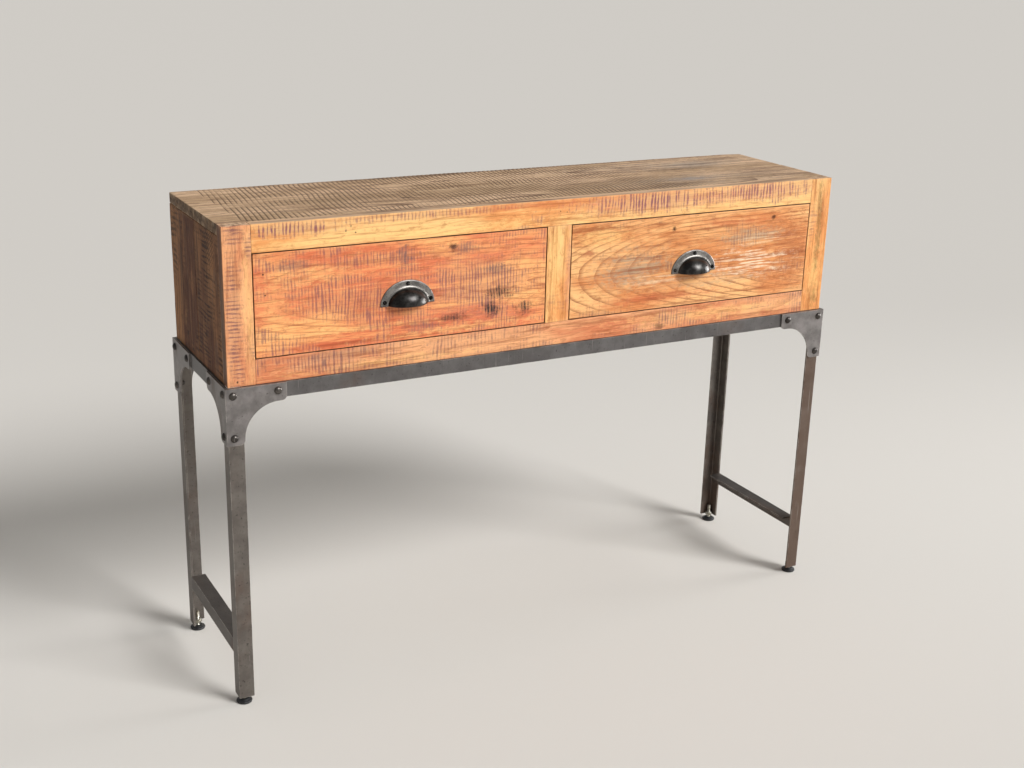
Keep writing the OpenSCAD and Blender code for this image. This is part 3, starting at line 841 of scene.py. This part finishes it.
def rivet_heads():
    """Hammered domed rivets, each a little different, in place of the CAD's."""
    low_all, high_all = (np.array(c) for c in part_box("rivets"))
    random = np.random.default_rng(5)
    parts = []
    for low, high in islands("rivets"):
        gaps = np.concatenate((np.abs(low - low_all), np.abs(high - high_all)))[[0, 1, 3, 4]]
        axis = int(np.argmin(gaps))
        outward = [(-1, 0, 0), (0, -1, 0), (1, 0, 0), (0, 1, 0)][axis]
        along = axis % 2
        wide = (high - low)[2] / 2
        total = (high - low)[along]
        head = total - SHANK
        dome = [(wide * r, total - head * h) for r, h in DOME]
        tail = [(wide * 0.46, 2 * MM), (wide * 0.62, 1.9 * MM), (wide * 0.6, 0.4 * MM), (wide * 0.45, 0)]
        points, faces = lathe([(0, total), *dome, *tail, (0, 0)], 28)
        lift = smoothstep(points[:, 2], total - head * 0.9, total)
        dents = value_noise(points + random.random(3), (260, 260, 260), 9)
        points[:, 2] -= HAMMERED * lift * dents
        points[:, :2] += lift[:, None] * (random.random(2) - 0.5) * 0.5 * MM
        origin = (low + high) / 2
        origin[along] = low[along] if outward[along] > 0 else high[along]
        parts.append((points @ facing(outward).T + origin, faces))
    points, faces = gather(parts)
    new_piece("rivet_heads", points, faces, "table", ["rivets"],
              iron("rivet_iron", 23.9, base="#34312f", pale="#66605b", brown="#3a2c24", rough=0.3))


# ---- Pulls ----

def pull_shell():
    """Points and faces of a cup pull's shell, its flat side at y = 0, open below."""
    wide, deep, setback, wall = 36 * MM, 27.5 * MM, 5 * MM, 2 * MM
    steps, rows = 72, 22
    layers = []
    for inset in (0, wall):
        a, r = wide - inset, deep - inset
        start = math.asin(setback / r) * 1.02
        grid = []
        for i in range(steps + 1):
            phi = start + (math.pi - 2 * start) * i / steps
            top = math.acos(min(1, setback / (r * math.sin(phi))))
            low = 0.6 * MM / (r * math.sin(phi))
            line = []
            for j in range(rows + 1):
                psi = low + (top - low) * j / rows
                line.append((a * math.cos(phi), setback - r * math.sin(phi) * math.cos(psi),
                             r * math.sin(phi) * math.sin(psi)))
            grid.append(line)
        layers.append(np.array(grid))
    outer, inner = layers
    lip = (outer[:, 0] + inner[:, 0]) / 2
    lip[:, 2] = 0
    across = np.concatenate((outer[:, ::-1], lip[:, None], inner), axis=1)
    return across.reshape(-1, 3), sheet(*across.shape[:2])


def pull_plate(high, half):
    """Points and faces of the pull's half-oval plate, with a raised bead round the cup."""
    cup_half, cup_high = 34.6 * MM, 26.4 * MM
    section = [(0, 0), (0, 2.9), (0.05, 3.3), (0.13, 3.35), (0.2, 3.0), (0.25, 2.35), (0.3, 2.05),
               (0.62, 2.0), (0.86, 1.95), (0.95, 1.7), (0.99, 1.2), (1, 0.6), (1, 0)]
    steps = 72
    points = []
    for i in range(steps + 1):
        angle = math.pi * i / steps
        inner = np.array([cup_half * math.cos(angle), cup_high * math.sin(angle)])
        outer = np.array([half * math.cos(angle), high * math.sin(angle)])
        for share, lift in section:
            spot = inner + (outer - inner) * share
            points.append((spot[0], -lift * MM, spot[1]))
    count = len(section)
    faces = hoops(steps, steps + 1, count)
    faces.append(tuple(range(count))[::-1])
    faces.append(tuple(steps * count + j for j in range(count)))
    return np.array(points), faces


def metal(name, seed, base, worn, rough, brushed):
    """A pull's aged metal: a soft cast shine, with brushing where the finish is rubbed through."""
    graph = Graph(name)
    place = graph.place()
    cloud = graph.noise(place, (60, 60, 60), seed, detail=4.0, roughness=0.6)
    brush = graph.noise(place, (260, 260, 2600), seed + 1, detail=2.0)
    grain = graph.noise(place, (1500, 1500, 1500), seed + 2, detail=2.0)
    rub = graph.times(brush, brushed, graph.times(cloud, 1 - brushed))
    colour = graph.mix(graph.band(rub, 0.4, 0.62), linear(base), linear(worn))
    colour = graph.mix(graph.rims(0.9 * MM, 0.985, 0.9, 0.6), colour, linear("#d8d4ce"))
    graph.set(Base_Color=colour, Metallic=0.9)
    graph.set(Roughness=graph.times(cloud, 0.22, rough - 0.1))
    graph.bump(graph.times(brush, brushed, grain), 0.12 * MM, 0.3)
    return graph.material


def slotted_head(radius, height):
    """Points and faces of a domed screw head with a slot, sitting on z = 0."""
    half = np.array([0.12, 0.17, 0.35, 0.55, 0.75, 0.9, 1.0])
    line = np.concatenate((-half[::-1], half))
    x, y = np.meshgrid(line, line, indexing="ij")
    disc_x = x * np.sqrt(1 - y * y / 2)
    disc_y = y * np.sqrt(1 - x * x / 2)
    reach = np.clip(np.hypot(disc_x, disc_y), 0, 1)
    lift = height * (0.15 + 0.85 * np.sqrt(np.clip(1 - (reach * 0.97) ** 2, 0, 1)))
    lift = np.where(np.abs(x) < 0.13, np.minimum(lift, height * 0.45), lift)
    top = np.stack((disc_x * radius, disc_y * radius, lift), axis=-1).reshape(-1, 3)
    count = len(line)
    faces = sheet(count, count)
    rim = [i * count for i in range(count)]
    rim += [(count - 1) * count + j for j in range(1, count)]
    rim += [i * count + count - 1 for i in range(count - 2, -1, -1)]
    rim += [j for j in range(count - 2, 0, -1)]
    base = top[rim] * np.array([1, 1, 0])
    start = len(top)
    for i, vert in enumerate(rim):
        j = (i + 1) % len(rim)
        faces.append((vert, start + i, start + j, rim[j]))
    faces.append(tuple(start + i for i in range(len(rim)))[::-1])
    return np.concatenate((top, base)), faces


SCREW_HEAD = 2.2 * MM


def pulls():
    """Cup pulls with their back plates and three slotted screws each."""
    plate_metal = metal("pull_plate_metal", 4.4, "#5e5b58", "#9a9691", 0.42, 0.55)
    cup_metal = metal("pull_cup_metal", 9.2, "#272524", "#474644", 0.3, 0.1)
    screw_metal = metal("pull_screw_metal", 14.8, "#0e0d0c", "#2a2725", 0.45, 0.2)
    for side in SIDES:
        body = f"drawer_{side}"
        low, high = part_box(f"pull_{side}")
        origin = np.array([(low.x + high.x) / 2, high.y, low.z])
        plate = pull_plate(high.z - low.z, (high.x - low.x) / 2)
        cup = pull_shell()
        points, faces = gather([plate, cup])
        piece = new_piece(f"cup_pull_{side}", points + origin, faces, body,
                          [f"pull_{side}"], plate_metal)
        piece.data.materials.append(cup_metal)
        kinds = [0] * len(plate[1]) + [1] * len(cup[1])
        piece.data.polygons.foreach_set("material_index", kinds)
        heads = []
        for count, (first, last) in enumerate(islands(f"pull_screws_{side}")):
            centre = (first + last) / 2
            radius = (last - first)[0] / 2
            head_points, head_faces = slotted_head(radius, SCREW_HEAD)
            turn = np.array(Matrix.Rotation(0.5 + 1.3 * count, 3, "Z"))
            centre[1] = first[1] + SCREW_HEAD
            placed = head_points @ turn.T @ facing((0, -1, 0)).T + centre
            heads.append((placed, head_faces))
        points, faces = gather(heads)
        new_piece(f"pull_screw_heads_{side}", points, faces, body,
                  [f"pull_screws_{side}"], screw_metal)


# ---- Feet ----

THREAD_PITCH = 1.25 * MM
THREAD_DEPTH = 0.62 * MM
END_TAPER = 0.7 * MM
NUT_FLATS = 13 * MM
NUT_BORE = 4.05 * MM


def zinc(name, seed):
    """Zinc-plated steel, dulled in patches."""
    graph = Graph(name)
    place = graph.place()
    cloud = graph.noise(place, (140, 140, 140), seed, detail=4.0)
    grit = graph.noise(place, (1800, 1800, 1800), seed + 1, detail=2.0)
    colour = graph.mix(graph.band(cloud, 0.4, 0.65), linear("#c4c2b8"), linear("#8f8a7c"))
    graph.set(Base_Color=colour, Metallic=1.0)
    graph.set(Roughness=graph.times(cloud, 0.35, 0.15))
    graph.bump(grit, 0.05 * MM, 0.3)
    return graph.material


def plastic(name, seed):
    """Black moulded plastic, dusty and scuffed."""
    graph = Graph(name)
    place = graph.place()
    dust = graph.noise(place, (90, 90, 40), seed, detail=4.0)
    grain = graph.noise(place, (2200, 2200, 2200), seed + 1, detail=2.0)
    colour = graph.mix(graph.band(dust, 0.5, 0.75, 0.0, 0.5), linear("#18181a"), linear("#4a4641"))
    graph.set(Base_Color=colour)
    graph.set(Roughness=graph.times(dust, 0.35, 0.3))
    graph.bump(grain, 0.06 * MM, 0.4)
    return graph.material


def thread(radius, pitch, length):
    """Points and faces of a stud with a helical thread, standing on z = 0."""
    rows = round(length / pitch * 6)
    rings = [(1, length * row / rows) for row in range(rows, -1, -1)]
    points, faces = lathe([(0, length), *rings, (0, 0)], 24)
    height = points[:, 2]
    turns = np.arctan2(points[:, 1], points[:, 0]) / (2 * math.pi)
    crest = np.abs((height / pitch - turns) % 1 * 2 - 1)
    taper = np.clip(np.minimum(height, length - height) / (0.8 * MM), 0, 1)
    cut = THREAD_DEPTH * np.clip(crest * 1.3 - 0.15, 0, 1) + END_TAPER * (1 - taper)
    points[:, :2] *= (radius - cut)[:, None]
    return points, faces


def pad_shape(radius, height):
    """Points and faces of a moulded foot pad with a fluted grip, standing on z = 0."""
    profile = [(0, 1), (0.36, 1), (0.55, 0.985), (0.62, 0.95), (0.66, 0.88), (0.72, 0.78),
               (0.9, 0.62), (0.97, 0.56), (1, 0.47), (1, 0.34), (1, 0.2), (0.97, 0.07),
               (0.9, 0.0), (0.5, 0.0), (0, 0)]
    points, faces = lathe([(r * radius, z * height) for r, z in profile], 96)
    turn = np.arctan2(points[:, 1], points[:, 0])
    reach = np.hypot(points[:, 0], points[:, 1]) / radius
    flute = np.clip(np.cos(turn * 12), 0, 1) ** 2 * smoothstep(reach, 0.9, 0.99)
    points[:, :2] *= (1 - 0.045 * flute)[:, None]
    return points, faces


def nut_shape(across_flats, height, bore):
    """Points and faces of a hex nut with chamfered corners and a bore, standing on z = 0."""
    steps = 72
    angles = np.arange(steps) * 2 * math.pi / steps
    bend = (angles + math.pi / 6) % (math.pi / 3) - math.pi / 6
    hexagon = across_flats / 2 / np.cos(bend)
    outline = [(bore, 0.0), (bore * 1.12, 0.0), (None, 0.0), (None, 0.08), (None, 0.92),
               (None, 1.0), (bore * 1.12, 1.0), (bore, 0.92)]
    points = []
    for count, (radius, share) in enumerate(outline):
        reach = np.full(steps, radius) if radius else hexagon
        if count in (2, 5):
            reach = np.minimum(hexagon, across_flats / 2 * 1.02)
        points += [(r * math.cos(a), r * math.sin(a), share * height)
                   for r, a in zip(reach, angles)]
    rings = len(outline)
    return np.array(points), hoops(rings, rings, steps)


def feet():
    """Levelling feet: fluted pads, threaded studs and the nuts welded in the legs."""
    plating = zinc("foot_zinc", 2.2)
    rubber = plastic("foot_plastic", 6.6)
    for corner in CORNERS:
        low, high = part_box(f"pad_{corner}")
        centre = np.array([(low.x + high.x) / 2, (low.y + high.y) / 2, low.z])
        points, faces = pad_shape((high.x - low.x) / 2, high.z - low.z)
        new_piece(f"foot_pad_{corner}", points + centre, faces, f"foot_{corner}",
                  [f"pad_{corner}"], rubber)
        low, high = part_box(f"stud_{corner}")
        centre[2] = low.z
        points, faces = thread((high.x - low.x) / 2, THREAD_PITCH, high.z - low.z)
        new_piece(f"foot_screw_{corner}", points + centre, faces, f"foot_stud_{corner}",
                  [f"stud_{corner}"], plating)
    nuts = []
    for low, high in islands("foot_nuts"):
        points, faces = nut_shape(NUT_FLATS, high[2] - low[2], NUT_BORE)
        turn = np.array(Matrix.Rotation(math.radians(15), 3, "Z"))
        centre = (low + high) / 2
        centre[2] = low[2]
        nuts.append((points @ turn.T + centre, faces))
    points, faces = gather(nuts)
    new_piece("welded_nuts", points, faces, "table", ["foot_nuts"], plating)
    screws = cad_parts["case_screws"]
    soften(screws, 0.2 * MM)
    finish_in(screws, plating)


# ---- Studio ----

FLOOR_REACH = 60.0
SURROUND = 0.34
KEY_POWER = 3.3
KEY_ANGLE = 24
KEY_DIRECTION = (-0.45, 0.7, -0.6)
WINDOW_POWER = 14
WINDOW_SIZE = 1.5
WINDOW_SPREAD = 50
WINDOW_PLACE = (4.6, -0.5, 0.85)
WINDOW_AIM = (0, 0, 0.6)


def studio_floor():
    """A wide pale floor."""
    mesh = bpy.data.meshes.new("floor")
    corners = [(x * FLOOR_REACH, y * FLOOR_REACH, 0) for x, y in ((-1, -1), (1, -1), (1, 1), (-1, 1))]
    mesh.from_pydata(corners, [], [(0, 1, 2, 3)])
    floor = show("floor", mesh)
    graph = Graph("floor_pale")
    graph.set(Base_Color=linear("#d6d2cc"), Roughness=0.8)
    finish_in(floor, graph.material)


def surround():
    """A pale, even surround."""
    world = bpy.data.worlds.new("studio")
    bpy.context.scene.world = world
    world.use_nodes = True
    sky = world.node_tree.nodes["Background"]
    sky.inputs["Color"].default_value = (1.0, 0.99, 0.97, 1)
    sky.inputs["Strength"].default_value = SURROUND


def hang(light, place, direction):
    """Puts a light at a place, shining in a direction."""
    lamp = show(light.name, light)
    lamp.location = place
    lamp.rotation_euler = direction.to_track_quat("-Z", "Y").to_euler()


def lights():
    """A soft key light from the front right, and a weak window far to the right."""
    key = bpy.data.lights.new("key", "SUN")
    key.energy = KEY_POWER
    key.angle = math.radians(KEY_ANGLE)
    hang(key, (0, 0, 0), Vector(KEY_DIRECTION))
    window = bpy.data.lights.new("window", "AREA")
    window.size = WINDOW_SIZE
    window.energy = WINDOW_POWER
    window.spread = math.radians(WINDOW_SPREAD)
    hang(window, WINDOW_PLACE, Vector(WINDOW_AIM) - Vector(WINDOW_PLACE))
    bpy.context.scene.view_settings.view_transform = "Standard"


EYE = Vector((-1.1401, -2.0888, 1.2405))
VIEW_ANGLES = (28.46, 18.705, 1.47)
LENS = 48.53
SENSOR = 36


def camera():
    """A camera at the photograph's viewing angle, above the table's left front corner."""
    yaw, pitch, roll = (math.radians(a) for a in VIEW_ANGLES)
    forward = Vector((math.sin(yaw) * math.cos(pitch), math.cos(yaw) * math.cos(pitch),
                      -math.sin(pitch)))
    level = Vector((math.cos(yaw), -math.sin(yaw), 0))
    upward = level.cross(forward)
    right = level * math.cos(roll) + upward * math.sin(roll)
    top = upward * math.cos(roll) - level * math.sin(roll)
    lens = bpy.data.cameras.new("view")
    lens.lens = LENS
    lens.sensor_width = SENSOR
    eye = show("view", lens)
    eye.matrix_world = Matrix((
        (right.x, top.x, -forward.x, EYE.x),
        (right.y, top.y, -forward.y, EYE.y),
        (right.z, top.z, -forward.z, EYE.z),
        (0, 0, 0, 1)))
    bpy.context.scene.camera = eye


top_boards()
face_frame()
side_boards()
inner_panels()
drawer_boards()
inner_strips()
iron_base()
rivet_heads()
pulls()
feet()
studio_floor()
surround()
lights()
camera()
